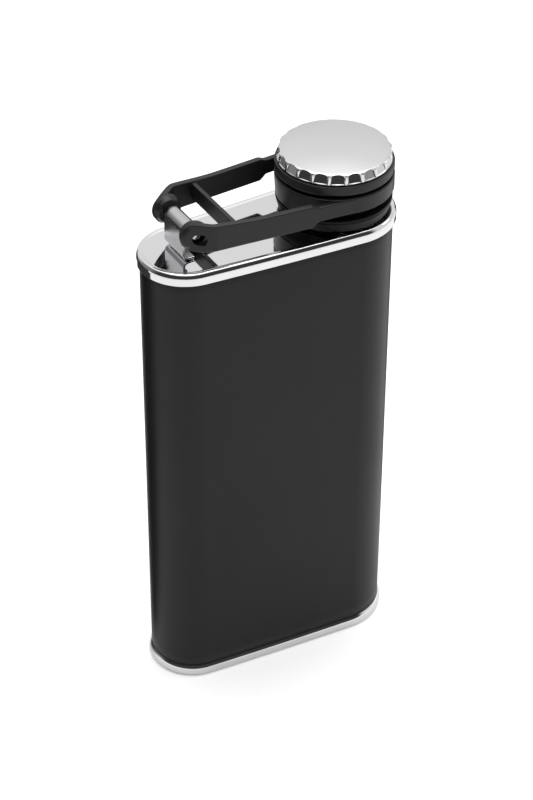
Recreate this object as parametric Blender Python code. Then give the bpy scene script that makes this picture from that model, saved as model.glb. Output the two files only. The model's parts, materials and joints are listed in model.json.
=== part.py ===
"""Pocket flask whose screw cap is held captive in the ring of a swinging arm.

Frame: +X runs from the hinge end to the cap end, +Z is up, the front is -Y.
The origin is the centre of the footprint, on the surface that the flask stands on.
"""

import math

import bmesh
import bpy
import numpy as np
from mathutils import Vector

MM = 0.001
GAP = 0.3 * MM  # left between pieces that touch, are pressed together or are welded

# Plan of the body: the hull of two circles, the larger one at the cap end.
WIDTH = 74.0 * MM
HINGE_END_R = 12.35 * MM
CAP_END_R = 15.19 * MM
SIDE_BULGE = 0.19 * MM
WALL = 0.6 * MM
CREST_Z = 140.4 * MM  # top of the upper rim's roll

# Pressed pans that close the ends. Their skirts wrap the outside of the body.
SKIRT_OUTSET = 0.85 * MM
SKIRT_HEIGHT = 3.4 * MM
CREST_ROLL_R = 0.5 * MM  # the upper rim rolls over in three arcs, each starting at these normal angles
BROW_R = 2.3 * MM
FLANK_R = 1.0 * MM
BROW_ANGLE = 42
FLANK_ANGLE = 12
FOOT_ROLL_R = 1.4 * MM
LIP_R = 0.25 * MM
BEAD_R = 3.9 * MM  # the base pan's skirt leans in to the body along this arc
BEAD_ANGLE = 31
PLATE_DROP = 0.2 * MM  # the plate lies this far below the roll
PLATE_THICK = 0.6 * MM
PLATE_EDGE = -0.75 * MM  # outline offset where the plate meets the roll
FOOT_INNER = -3.2 * MM
RECESS_EDGE = -4.2 * MM
RECESS_DEPTH = 1.2 * MM
FLOOR_Z = 2.0 * MM
PLATE_Z = CREST_Z - PLATE_DROP

# Neck and its thread. Heights below are above the plate.
CAP_X = 20.55 * MM
NECK_BORE_R = 9.6 * MM
NECK_R = 10.5 * MM
NECK_THREAD_R = 11.2 * MM
NECK_HEIGHT = 10.6 * MM
NECK_FLANGE_R = 13.0 * MM
NECK_FLANGE_THICK = 0.8 * MM
THREAD_PITCH = 2.5 * MM
THREAD_LOW = 1.6 * MM
THREAD_HIGH = 9.2 * MM

# Cap: a moulded body, a chrome crown, a seal and a collar that keeps the ring on.
CAP_LOW = 0.9 * MM
BORE_THREAD_R = 12.2 * MM
BORE_R = 12.9 * MM
SLEEVE_R = 13.7 * MM
ROOF_Z = 12.3 * MM
FLANGE_R = 16.15 * MM
FLANGE_LOW = 12.5 * MM
FLANGE_HIGH = 15.2 * MM
BOSS_R = 14.0 * MM
BOSS_HIGH = 17.2 * MM
SEAL_R = 11.8 * MM
SEAL_THICK = 1.1 * MM
COLLAR_LOW_R = 15.0 * MM
COLLAR_HIGH_R = 15.9 * MM
COLLAR_HIGH = 4.7 * MM
CROWN_R = 15.5 * MM
CROWN_SHOULDER_R = 15.15 * MM
CROWN_INNER_R = 14.3 * MM
CROWN_SKIRT_HIGH = 18.2 * MM
CROWN_TOP = 19.8 * MM
FLUTES = 21
FLUTE_DEPTH = 0.55 * MM

# Hinge: a bracket of rolled sheet and a plain pin, whose axis runs along Y.
PIN_X = -25.8 * MM
PIN_Z = 8.7 * MM
PIN_R = 1.25 * MM
PIN_HALF = 8.5 * MM
KNUCKLE_R = 2.4 * MM
KNUCKLE_BORE_R = 1.6 * MM
BRACKET_HALF = 5.3 * MM
SHEET = 0.9 * MM
BRACKET_FOOT = 0.9 * MM

# Arm: two bars that spread from the eyes to the ring, with a crossbar between them.
EYE_X = PIN_X - 0.4 * MM
EYE_Z = PIN_Z + 0.4 * MM
EYE_R = 4.05 * MM
EYE_PROFILE = ((5.6, 0.78), (5.9, 0.84), (7.0, 0.95), (7.7, 1.0), (8.3, 0.96), (8.7, 0.86), (8.9, 0.7))
SLOT_FLOOR = 7.2 * MM
SLOT_HALF = 1.6 * MM
SLOT_TRAVEL = 0.6 * MM
RING_INNER_R = 14.2 * MM
RING_OUTER_R = 16.25 * MM
RING_LOW_R = 15.9 * MM
RING_HIGH = 11.5 * MM
RING_LOW = 7.0 * MM
RING_DEEP_LOW = 5.1 * MM
DEEP_HALF_ANGLE = math.radians(52)
DEEP_BLEND = math.radians(9)
BAR_SPREAD = math.radians(4.7)
BAR_TANGENT_R = 16.1 * MM
BAR_THICK = 1.8 * MM
BAR_LOW = 5.5 * MM
BAR_HIGH = 12.1 * MM
BAND_LOW = 7.0 * MM
BAND_HIGH = 11.3 * MM
STEP_X = 6.2 * MM
STEP_HALF = 1.3 * MM
JOG_NEAR_X = -29.5 * MM
JOG_FAR_X = -21.8 * MM
RISE_X = -8.0 * MM  # from here the bars' top edges rise towards the eyes
BAR_START_Y = 8.3 * MM
BAR_START = 0.8  # share of the eye's radius by which a bar runs on past its middle
EDGE = 0.35 * MM
CROSSBAR_X = -16.1 * MM
CROSSBAR_THICK = 1.3 * MM
CROSSBAR_LOW = 7.3 * MM
CROSSBAR_HIGH = 12.0 * MM

# Facets.
ROUND = 64
THREAD_ROUND = 40
THREAD_STEPS = 5  # rows to a pitch
CAP_ARC = 24
HINGE_ARC = 20
SIDE_STEPS = 6
ROLL_STEPS = 4

CHROME = ((0.82, 0.82, 0.83), 0.06, 1.0)
SATIN_CHROME = ((0.78, 0.78, 0.79), 0.16, 1.0)
STEEL = ((0.62, 0.62, 0.61), 0.25, 1.0)
BLACK_COAT = ((0.018, 0.018, 0.019), 0.42, 0.0)
BLACK_PLASTIC = ((0.022, 0.022, 0.023), 0.36, 0.0)
SILICONE = ((0.72, 0.72, 0.7), 0.55, 0.0)


def clear_scene():
    for old in list(bpy.data.objects):
        bpy.data.objects.remove(old, do_unlink=True)


def material(name, look):
    colour, roughness, metallic = look
    made = bpy.data.materials.new(name)
    made.use_nodes = True
    shader = made.node_tree.nodes["Principled BSDF"]
    shader.inputs["Base Color"].default_value = (*colour, 1.0)
    shader.inputs["Roughness"].default_value = roughness
    shader.inputs["Metallic"].default_value = metallic
    return made


def add_object(name, verts, faces, origin=(0, 0, 0), look=None):
    """A mesh object from world points, with its origin moved to the given place."""
    mesh = bpy.data.meshes.new(name)
    shifted = np.asarray(verts, float) - np.asarray(origin, float)
    mesh.from_pydata(shifted.tolist(), [], faces)
    mesh.validate()
    shell = bmesh.new()
    shell.from_mesh(mesh)
    bmesh.ops.recalc_face_normals(shell, faces=shell.faces)
    shell.to_mesh(mesh)
    shell.free()
    mesh.shade_smooth()
    mesh.set_sharp_from_angle(angle=math.radians(35))
    made = bpy.data.objects.new(name, mesh)
    made.location = Vector(origin)
    bpy.context.scene.collection.objects.link(made)
    if look:
        mesh.materials.append(material(name, look))
    return made


def helper(made):
    """Marks a cutter or a part of a union, which isn't a piece of its own."""
    made.hide_render = True
    made.display_type = "WIRE"
    return made


def combine(target, other, operation):
    step = target.modifiers.new(other.name, "BOOLEAN")
    step.operation = operation
    step.object = helper(other)
    step.solver = "EXACT"


def ring_faces(rows, count, closed):
    """Quads between rows of points that each run once round the piece."""
    pairs = [(i, i + 1) for i in range(rows - 1)]
    if closed:
        pairs.append((rows - 1, 0))
    faces = []
    for low, high in pairs:
        for j in range(count):
            k = (j + 1) % count
            faces.append((low * count + j, low * count + k, high * count + k, high * count + j))
    if not closed:
        faces.append(tuple(range(count))[::-1])
        faces.append(tuple((rows - 1) * count + j for j in range(count)))
    return faces


def loft(name, rings, closed, origin=(0, 0, 0), look=None):
    """A solid through rings of equal length: a closed loop of rings, or one with two end faces."""
    count = len(rings[0])
    return add_object(name, np.vstack(rings), ring_faces(len(rings), count, closed), origin, look)


def circle(radius, z, count, centre_x=CAP_X):
    """A ring about a vertical axis. radius and z may vary with the angle."""
    turn = np.linspace(0, 2 * math.pi, count, endpoint=False)
    radius = np.broadcast_to(radius, turn.shape)
    z = np.broadcast_to(z, turn.shape)
    return np.stack([centre_x + radius * np.cos(turn), radius * np.sin(turn), z], axis=1)


def turned(name, profile, closed, look=None, count=ROUND):
    """A turned piece on the cap's axis, from (radius, height above the plate) pairs."""
    rings = [circle(radius, PLATE_Z + height, count) for radius, height in profile]
    return loft(name, rings, closed, (CAP_X, 0, PLATE_Z), look)


def arc(centre, radius, start, end, steps):
    """Points of an arc in a profile, angles in degrees."""
    angles = np.radians(np.linspace(start, end, steps + 1))
    return [(centre[0] + radius * math.cos(a), centre[1] + radius * math.sin(a)) for a in angles]


def smooth_step(x, low, high):
    t = np.clip((np.asarray(x, float) - low) / (high - low), 0, 1)
    return t * t * (3 - 2 * t)


def outline(offset, z):
    """The body's plan at an offset from its outer face: two arcs and two bulged sides."""
    hinge_x = -WIDTH / 2 + HINGE_END_R
    cap_x = WIDTH / 2 - CAP_END_R
    tilt = math.asin((CAP_END_R - HINGE_END_R) / (cap_x - hinge_x))
    edge = math.pi / 2 + tilt
    normal = np.array([math.cos(edge), math.sin(edge)])
    cap_turn = np.linspace(-edge, edge, CAP_ARC + 1)
    hinge_turn = np.linspace(edge, 2 * math.pi - edge, HINGE_ARC + 1)
    cap_end = np.stack([np.cos(cap_turn), np.sin(cap_turn)], 1) * (CAP_END_R + offset)
    hinge_end = np.stack([np.cos(hinge_turn), np.sin(hinge_turn)], 1) * (HINGE_END_R + offset)
    cap_end[:, 0] += cap_x
    hinge_end[:, 0] += hinge_x
    along = np.linspace(0, 1, SIDE_STEPS + 1)[1:-1, None]
    bulge = 4 * along * (1 - along) * SIDE_BULGE
    back = cap_end[-1] + (hinge_end[0] - cap_end[-1]) * along + normal * bulge
    front = back[::-1] * [1, -1]
    plan = np.vstack([cap_end, back, hinge_end, front])
    return np.column_stack([plan, np.full(len(plan), z)])


def hole_in_plate(radius, z):
    """The neck hole's edge, a point for each point of the outline, seen from the hole's centre."""
    away = outline(0, z)[:, :2] - [CAP_X, 0]
    away /= np.linalg.norm(away, axis=1)[:, None]
    return np.column_stack([CAP_X + radius * away[:, 0], radius * away[:, 1], np.full(len(away), z)])


def body_shell():
    low = FLOOR_Z + GAP
    high = PLATE_Z - PLATE_THICK - GAP
    rings = [outline(0, low), outline(0, high), outline(-WALL, high), outline(-WALL, low)]
    loft("body_shell", rings, True, look=BLACK_COAT)


def chained_arcs(start, steps):
    """Arcs that follow on from each other: (radius, first angle, last angle) for each step."""
    points = [start]
    for radius, first, last in steps:
        x, z = points[-1]
        centre = (x - radius * math.cos(math.radians(first)), z - radius * math.sin(math.radians(first)))
        points += arc(centre, radius, first, last, ROLL_STEPS)[1:]
    return points


def skirt_profile():
    """The upper pan's outer face from the crest down to the lip and in to the body, heights from the crest."""
    steps = ((CREST_ROLL_R, 90, BROW_ANGLE), (BROW_R, BROW_ANGLE, FLANK_ANGLE), (FLANK_R, FLANK_ANGLE, 0))
    roll = chained_arcs((0, 0), steps)
    shift = SKIRT_OUTSET - roll[-1][0]
    roll = [(offset + shift, height) for offset, height in roll]
    lip = arc((SKIRT_OUTSET - LIP_R, -SKIRT_HEIGHT + LIP_R), LIP_R, 0, -90, 2)
    return roll + lip + [(GAP, -SKIRT_HEIGHT)]


def top_plate():
    under = PLATE_Z - PLATE_THICK
    rings = [hole_in_plate(NECK_R + GAP, PLATE_Z), outline(PLATE_EDGE, PLATE_Z)]
    rings.append(outline(PLATE_EDGE + PLATE_DROP, CREST_Z - PLATE_DROP / 3))
    rings += [outline(offset, CREST_Z + height) for offset, height in skirt_profile()]
    rings += [outline(GAP, under), hole_in_plate(NECK_R + GAP, under)]
    loft("top_plate", rings, True, look=CHROME)


def base_plate():
    bead = arc((SKIRT_OUTSET - BEAD_R, FOOT_ROLL_R), BEAD_R, BEAD_ANGLE, 0, ROLL_STEPS)
    roll = arc((SKIRT_OUTSET - FOOT_ROLL_R, FOOT_ROLL_R), FOOT_ROLL_R, 0, -90, ROLL_STEPS)
    rings = [outline(GAP, FLOOR_Z), outline(GAP, bead[0][1])]
    rings += [outline(offset, height) for offset, height in bead + roll[1:]]
    rings.append(outline(FOOT_INNER, 0))
    rings.append(outline(RECESS_EDGE + FOOT_ROLL_R / 4, RECESS_DEPTH * 0.75))
    rings.append(outline(RECESS_EDGE, RECESS_DEPTH))
    loft("base_plate", rings, False, look=CHROME)


def thread_rows(root, crest, phase):
    """Rings over the threaded height whose radius follows one right-hand helix."""
    turn = np.linspace(0, 2 * math.pi, THREAD_ROUND, endpoint=False)
    rows = []
    for z in np.arange(THREAD_LOW, THREAD_HIGH, THREAD_PITCH / THREAD_STEPS):
        place = np.mod(z / THREAD_PITCH - turn / (2 * math.pi) + phase, 1.0)
        ridge = 1 - smooth_step(np.abs(place - 0.5), 0.1, 0.3)
        fade = smooth_step(z, THREAD_LOW, THREAD_LOW + 1 * MM)
        fade = fade * (1 - smooth_step(z, THREAD_HIGH - 1.4 * MM, THREAD_HIGH - 0.4 * MM))
        rows.append(circle(root + (crest - root) * ridge * fade, PLATE_Z + z, THREAD_ROUND))
    return rows


def neck():
    under = -PLATE_THICK - GAP
    lip = 0.35 * MM
    low = [
        (NECK_BORE_R, under - NECK_FLANGE_THICK),
        (NECK_FLANGE_R, under - NECK_FLANGE_THICK),
        (NECK_FLANGE_R, under),
        (NECK_R, under),
        (NECK_R, THREAD_LOW - 0.4 * MM),
    ]
    high = [
        (NECK_R, THREAD_HIGH + 0.2 * MM),
        (NECK_R, NECK_HEIGHT - lip),
        (NECK_R - lip, NECK_HEIGHT),
        (NECK_BORE_R + lip / 2, NECK_HEIGHT),
        (NECK_BORE_R, NECK_HEIGHT - lip),
    ]
    rings = [circle(r, PLATE_Z + z, THREAD_ROUND) for r, z in low]
    rings += thread_rows(NECK_R, NECK_THREAD_R, 0.0)
    rings += [circle(r, PLATE_Z + z, THREAD_ROUND) for r, z in high]
    loft("neck", rings, True, (CAP_X, 0, PLATE_Z), STEEL)


def cap_body():
    bevel = 0.25 * MM
    outside = [
        (BOSS_R, BOSS_HIGH),
        (BOSS_R, FLANGE_HIGH),
        (FLANGE_R - bevel, FLANGE_HIGH),
        (FLANGE_R, FLANGE_HIGH - bevel),
        (FLANGE_R, FLANGE_LOW + bevel),
        (FLANGE_R - bevel, FLANGE_LOW),
        (SLEEVE_R, FLANGE_LOW),
        (SLEEVE_R, CAP_LOW),
        (BORE_R, CAP_LOW),
    ]
    rings = [circle(r, PLATE_Z + z, THREAD_ROUND) for r, z in outside]
    rings += thread_rows(BORE_R, BORE_THREAD_R, 0.5)
    rings.append(circle(BORE_R, PLATE_Z + ROOF_Z, THREAD_ROUND))
    loft("cap_body", rings, False, (CAP_X, 0, PLATE_Z), BLACK_PLASTIC)


def cap_seal():
    low = NECK_HEIGHT + GAP
    profile = [(SEAL_R, low), (SEAL_R, low + SEAL_THICK)]
    turned("cap_seal", profile, False, SILICONE)


def cap_collar():
    inner = SLEEVE_R + GAP
    bevel = 0.3 * MM
    profile = [
        (inner, CAP_LOW),
        (COLLAR_LOW_R, CAP_LOW),
        (COLLAR_HIGH_R, COLLAR_HIGH - bevel),
        (COLLAR_HIGH_R - bevel, COLLAR_HIGH),
        (inner, COLLAR_HIGH),
    ]
    turned("cap_collar", profile, True, BLACK_PLASTIC)


def cap_crown():
    """A pressed shell: fluted skirt, rounded shoulder and a low dome, with an even inner face."""
    count = FLUTES * 4
    turn = np.linspace(0, 2 * math.pi, count, endpoint=False)
    place = np.mod(turn * FLUTES / (2 * math.pi), 1.0)
    pocket = 1 - smooth_step(np.abs(place - 0.5), 0.3, 0.42)
    low = FLANGE_HIGH + GAP
    rings = []
    for height, depth in ((0, 1), (0.55, 1), (0.8, 0.5), (1, 0)):
        z = low + (CROWN_SKIRT_HIGH - low) * height
        lean = CROWN_R + (CROWN_SHOULDER_R - CROWN_R) * height
        rings.append(circle(lean - FLUTE_DEPTH * depth * pocket, PLATE_Z + z, count))
    for share in (0.97, 0.9, 0.75, 0.5, 0.2):
        z = CROWN_TOP - (CROWN_TOP - CROWN_SKIRT_HIGH - 0.2 * MM) * share**2
        rings.append(circle(CROWN_SHOULDER_R * share, PLATE_Z + z, count))
    crown = loft("cap_crown", rings, False, (CAP_X, 0, PLATE_Z), SATIN_CHROME)
    hollow = turned("crown_hollow", [(CROWN_INNER_R, 0), (CROWN_INNER_R, BOSS_HIGH + GAP)], False)
    combine(crown, hollow, "DIFFERENCE")


def rod_along_y(name, x, z, radius, half, look=None, count=32):
    turn = np.linspace(0, 2 * math.pi, count, endpoint=False)
    face = np.stack([x + radius * np.cos(turn), 0 * turn, z + radius * np.sin(turn)], axis=1)
    rings = [face + [0, y, 0] for y in (-half, half)]
    return loft(name, rings, False, (x, 0, z), look)


def hinge_bracket():
    """Foot, upright sheet and rolled knuckle as one outline, pushed along Y and bored for the pin."""
    meet = math.degrees(math.acos((SHEET - KNUCKLE_R) / KNUCKLE_R))
    side = KNUCKLE_R
    foot = [(-side, GAP), (BRACKET_FOOT, GAP), (BRACKET_FOOT, GAP + SHEET)]
    inside = arc((SHEET * 2 - side, GAP + 2 * SHEET), SHEET, 270, 180, 3)
    knuckle = arc((0, PIN_Z), KNUCKLE_R, -meet, 180, 20)
    outline_points = np.array(foot + inside + knuckle)
    face = np.column_stack(
        [PIN_X + outline_points[:, 0], 0 * outline_points[:, 0], PLATE_Z + outline_points[:, 1]]
    )
    rings = [face + [0, y, 0] for y in (-BRACKET_HALF, BRACKET_HALF)]
    bracket = loft("hinge_bracket", rings, False, (PIN_X, 0, PLATE_Z), CHROME)
    bore = rod_along_y("knuckle_bore", PIN_X, PLATE_Z + PIN_Z, KNUCKLE_BORE_R, 2 * BRACKET_HALF)
    combine(bracket, bore, "DIFFERENCE")


def hinge_pin():
    rod_along_y("hinge_pin", PIN_X, PLATE_Z + PIN_Z, PIN_R, PIN_HALF, STEEL)


def bar_outer_y(x):
    """Half the arm's width at x: tangent to the ring, then a jog in to the eye."""
    spread = BAR_TANGENT_R / math.cos(BAR_SPREAD) + (x - CAP_X) * math.tan(BAR_SPREAD)
    jog = smooth_step(x, JOG_NEAR_X, JOG_FAR_X)
    return BAR_START_Y + (spread - BAR_START_Y) * jog


def bar_section(x, side):
    """The bar's section at x: a tall box with small bevels, in the plane across the arm."""
    step = smooth_step(x, STEP_X - STEP_HALF, STEP_X + STEP_HALF)
    low = BAR_LOW + (BAND_LOW - BAR_LOW) * step
    high = BAR_HIGH + (BAND_HIGH - BAR_HIGH) * step
    root = 1 - smooth_step(x, EYE_X, JOG_FAR_X)
    half = math.sqrt(EYE_R**2 - min(x - EYE_X, 0) ** 2)
    low += (EYE_Z - half - low) * root
    high += (EYE_Z + half - high) * (1 - smooth_step(x, EYE_X, RISE_X))
    outer = bar_outer_y(x)
    inner = outer - BAR_THICK
    corners = [
        (outer, low + EDGE),
        (outer, high - EDGE),
        (outer - EDGE, high),
        (inner + EDGE, high),
        (inner, high - EDGE),
        (inner, low + EDGE),
        (inner + EDGE, low),
        (outer - EDGE, low),
    ]
    return np.array([(x, side * y, PLATE_Z + z) for y, z in corners])


def arm_bar(name, side):
    tangent_x = CAP_X - BAR_TANGENT_R * math.sin(BAR_SPREAD)
    jog = np.linspace(EYE_X - BAR_START * EYE_R, JOG_FAR_X, 12)
    step = np.linspace(STEP_X - STEP_HALF, STEP_X + STEP_HALF, 7)
    rise = np.linspace(JOG_FAR_X, STEP_X - STEP_HALF, 6)[1:-1]
    places = np.concatenate([jog, rise, step, [tangent_x]])
    return loft(name, [bar_section(x, side) for x in places], False)


def arm_eye(name, side):
    """A boss round the pin that widens outwards and ends in a rounded face."""
    turn = np.linspace(0, 2 * math.pi, 40, endpoint=False)
    rings = []
    for y, share in EYE_PROFILE:
        x = EYE_X + EYE_R * share * np.cos(turn)
        z = PLATE_Z + EYE_Z + EYE_R * share * np.sin(turn)
        rings.append(np.stack([x, 0 * turn + side * y * MM, z], axis=1))
    return loft(name, rings, False)


def arm_slot(name, side):
    """Recess in an eye's outer face. The pin lies at its hinge end."""
    near = arc((PIN_X, PLATE_Z + PIN_Z), SLOT_HALF, 90, 270, 10)
    far = arc((PIN_X + SLOT_TRAVEL, PLATE_Z + PIN_Z), SLOT_HALF, -90, 90, 10)
    face = np.array([(x, 0, z) for x, z in near + far])
    rings = [face + [0, side * y, 0] for y in (SLOT_FLOOR, 2 * SLOT_FLOOR)]
    return loft(name, rings, False)


def arm_crossbar():
    half = bar_outer_y(CROSSBAR_X) - BAR_THICK / 2
    low = PLATE_Z + CROSSBAR_LOW
    high = PLATE_Z + CROSSBAR_HIGH
    near = CROSSBAR_X - CROSSBAR_THICK / 2
    far = CROSSBAR_X + CROSSBAR_THICK / 2
    bevel = CROSSBAR_THICK / 5
    bottom = [(near, low), (far, low)]
    top = [(far, high - bevel), (far - bevel, high), (near + bevel, high), (near, high - bevel)]
    face = np.array(bottom + top)
    rings = [np.column_stack([face[:, 0], np.full(len(face), y), face[:, 1]]) for y in (-half, half)]
    return loft("arm_crossbar", rings, False)


def retention_arm():
    """Ring, deeper on the hinge side, joined with the bars, eyes and crossbar into one moulding."""
    turn = np.linspace(0, 2 * math.pi, ROUND, endpoint=False)
    from_hinge_side = np.abs(turn - math.pi)
    deep = 1 - smooth_step(from_hinge_side, DEEP_HALF_ANGLE - DEEP_BLEND, DEEP_HALF_ANGLE + DEEP_BLEND)
    low = PLATE_Z + RING_LOW + (RING_DEEP_LOW - RING_LOW) * deep
    high = PLATE_Z + RING_HIGH
    outer_low = RING_OUTER_R + (RING_LOW_R - RING_OUTER_R) * deep
    rings = [
        circle(outer_low - EDGE, low, ROUND),
        circle(outer_low, low + EDGE, ROUND),
        circle(RING_OUTER_R, high - EDGE, ROUND),
        circle(RING_OUTER_R - EDGE, high, ROUND),
        circle(RING_INNER_R + EDGE, high, ROUND),
        circle(RING_INNER_R, high - EDGE, ROUND),
        circle(RING_INNER_R, low + EDGE, ROUND),
        circle(RING_INNER_R + EDGE, low, ROUND),
    ]
    arm = loft("retention_arm", rings, True, (PIN_X, 0, PLATE_Z + PIN_Z), BLACK_PLASTIC)
    for label, side in (("front", -1), ("rear", 1)):
        combine(arm, arm_bar(f"{label}_bar", side), "UNION")
        combine(arm, arm_eye(f"{label}_eye", side), "UNION")
    combine(arm, arm_crossbar(), "UNION")
    bore = rod_along_y("eye_bore", PIN_X, PLATE_Z + PIN_Z, SLOT_HALF, 2 * SLOT_FLOOR)
    combine(arm, bore, "DIFFERENCE")
    for label, side in (("front", -1), ("rear", 1)):
        combine(arm, arm_slot(f"{label}_slot", side), "DIFFERENCE")


def build():
    clear_scene()
    body_shell()
    top_plate()
    base_plate()
    neck()
    hinge_bracket()
    hinge_pin()
    retention_arm()
    cap_body()
    cap_seal()
    cap_collar()
    cap_crown()


build()
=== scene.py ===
import json
import math

import bpy
import numpy as np
from mathutils import Matrix, Vector


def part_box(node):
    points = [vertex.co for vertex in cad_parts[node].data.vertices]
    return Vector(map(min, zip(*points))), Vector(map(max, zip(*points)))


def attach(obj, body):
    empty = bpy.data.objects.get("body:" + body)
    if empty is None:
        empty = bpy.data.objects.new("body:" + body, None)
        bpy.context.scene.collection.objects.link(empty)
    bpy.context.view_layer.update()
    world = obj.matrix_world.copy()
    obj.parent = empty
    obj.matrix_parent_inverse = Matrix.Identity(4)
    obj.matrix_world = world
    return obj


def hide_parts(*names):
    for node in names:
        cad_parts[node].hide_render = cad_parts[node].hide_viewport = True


# Shapes below are worked out in millimetres, in the frame's own axes, and go into the meshes in metres.
mm = 0.001
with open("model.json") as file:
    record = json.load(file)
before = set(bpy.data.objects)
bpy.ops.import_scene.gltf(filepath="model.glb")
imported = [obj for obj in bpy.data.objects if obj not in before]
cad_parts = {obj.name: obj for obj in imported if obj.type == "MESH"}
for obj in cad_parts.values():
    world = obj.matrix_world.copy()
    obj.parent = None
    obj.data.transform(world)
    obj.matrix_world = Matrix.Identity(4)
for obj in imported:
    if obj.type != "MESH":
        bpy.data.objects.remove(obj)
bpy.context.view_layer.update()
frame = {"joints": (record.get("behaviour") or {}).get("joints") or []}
joints = {joint["name"]: joint for joint in frame["joints"]}


def boxOf(node):
    low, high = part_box(node)
    return np.array(low) / mm, np.array(high) / mm


bodyLow, bodyHigh = boxOf("body_shell")
_, panHigh = boxOf("top_plate")
crownLow, crownHigh = boxOf("cap_crown")
neckLow, neckHigh = boxOf("neck")
pinX, _, pinZ = np.array(joints["arm_swing"]["pos_m"]) / mm
capX, _, plateZ = np.array(joints["cap_turn"]["pos_m"]) / mm


def smoothStep(x, low, high):
    # 3t^2 - 2t^3, where t runs from 0 to 1 between low and high
    t = np.clip((np.asarray(x, float) - low) / (high - low), 0, 1)
    return t * t * (3 - 2 * t)


def arcOf(centre, radius, start, end, steps):
    # points of an arc, angles in degrees
    turn = np.radians(np.linspace(start, end, steps + 1))
    return np.column_stack([centre[0] + radius * np.cos(turn), centre[1] + radius * np.sin(turn)])


def rounded(corners, steps=6, support=0.03):
    # a polyline of (u, v, cut) whose corners turn into parabolas (1-t)^2 a + 2t(1-t) b + t^2 c,
    # where a and c lie a cut away from corner b. A point just outside each curve keeps flats flat.
    corners = np.array(corners, float)
    t = np.linspace(0, 1, steps + 1)[:, None]
    parts = []
    for k, (place, cut) in enumerate(zip(corners[:, :2], corners[:, 2])):
        if cut == 0:
            parts.append(place[None])
            continue
        back = corners[k - 1, :2] - place
        ahead = corners[(k + 1) % len(corners), :2] - place
        back /= np.linalg.norm(back)
        ahead /= np.linalg.norm(ahead)
        curve = (1 - t) ** 2 * (place + back * cut) + 2 * t * (1 - t) * place + t**2 * (place + ahead * cut)
        parts += [[place + back * (cut + support)], curve, [place + ahead * (cut + support)]]
    return np.vstack(parts)


def boxSection(steps=5, support=0.15):
    # one turn round a unit rounded box: (side u, side v, bend u, bend v), where a point is
    # low + edge + side * (size - 2 edge) + edge * bend in each direction
    turn = np.linspace(0, math.pi / 2, steps + 1)
    bendU = np.concatenate([[1], np.cos(turn), [-support]])
    bendV = np.concatenate([[-support], np.sin(turn), [1]])
    rows = [(1, 1, bendU, bendV), (0, 1, -bendV, bendU), (0, 0, -bendU, -bendV), (1, 0, bendV, -bendU)]
    return np.vstack([np.column_stack([0 * u + a, 0 * u + b, u, v]) for a, b, u, v in rows])


def turnedGrid(profile, steps):
    # (radius, height above the plate) pairs carried round a vertical axis
    turn = np.linspace(0, 2 * math.pi, steps, endpoint=False)
    radius, height = np.asarray(profile)[:, 0:1], np.asarray(profile)[:, 1:2]
    x = capX + radius * np.cos(turn)
    return np.stack([x, radius * np.sin(turn), plateZ + height + 0 * turn], axis=-1)


planValues = {
    "hingeEndRadius": 12.35,
    "capEndRadius": 15.19,
    "sideBulge": 0.19,
    "capEndSteps": 110,
    "hingeEndSteps": 90,
    "sideSteps": 40,
}


def flaskPlan():
    # the body's outline and its outward directions: an arc round each end, and sides that
    # run straight between them plus bulge * 4t(1-t)
    v = planValues
    hingeX = bodyLow[0] + v["hingeEndRadius"]
    capEndX = bodyHigh[0] - v["capEndRadius"]
    edge = math.pi / 2 + math.asin((v["capEndRadius"] - v["hingeEndRadius"]) / (capEndX - hingeX))
    capTurn = np.linspace(-edge, edge, v["capEndSteps"] + 1)
    hingeTurn = np.linspace(edge, 2 * math.pi - edge, v["hingeEndSteps"] + 1)
    capWay = np.column_stack([np.cos(capTurn), np.sin(capTurn)])
    hingeWay = np.column_stack([np.cos(hingeTurn), np.sin(hingeTurn)])
    capEnd = capWay * v["capEndRadius"] + [capEndX, 0]
    hingeEnd = hingeWay * v["hingeEndRadius"] + [hingeX, 0]
    t = np.linspace(0, 1, v["sideSteps"] + 1)[1:-1, None]
    sideWay = np.repeat(capWay[-1:], len(t), axis=0)
    side = capEnd[-1] + (hingeEnd[0] - capEnd[-1]) * t + sideWay * 4 * t * (1 - t) * v["sideBulge"]
    line = np.vstack([capEnd, side, hingeEnd, side[::-1] * [1, -1]])
    way = np.vstack([capWay, sideWay, hingeWay, sideWay * [1, -1]])
    return line, way


planLine, planWay = flaskPlan()


def planGrid(profile):
    # (offset, z) pairs carried round the plan: plan + offset * outward direction, at height z
    profile = np.asarray(profile, float)
    flat = planLine + profile[:, 0, None, None] * planWay
    z = np.broadcast_to(profile[:, 1, None, None], flat.shape[:2] + (1,))
    return np.concatenate([flat, z], axis=-1)


def neckHoleRow(radius, z):
    # a circle round the neck with one point for each point of the plan
    away = planLine - [capX, 0]
    away /= np.linalg.norm(away, axis=1)[:, None]
    return np.column_stack([away * radius + [capX, 0], np.full(len(away), z)])


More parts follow.
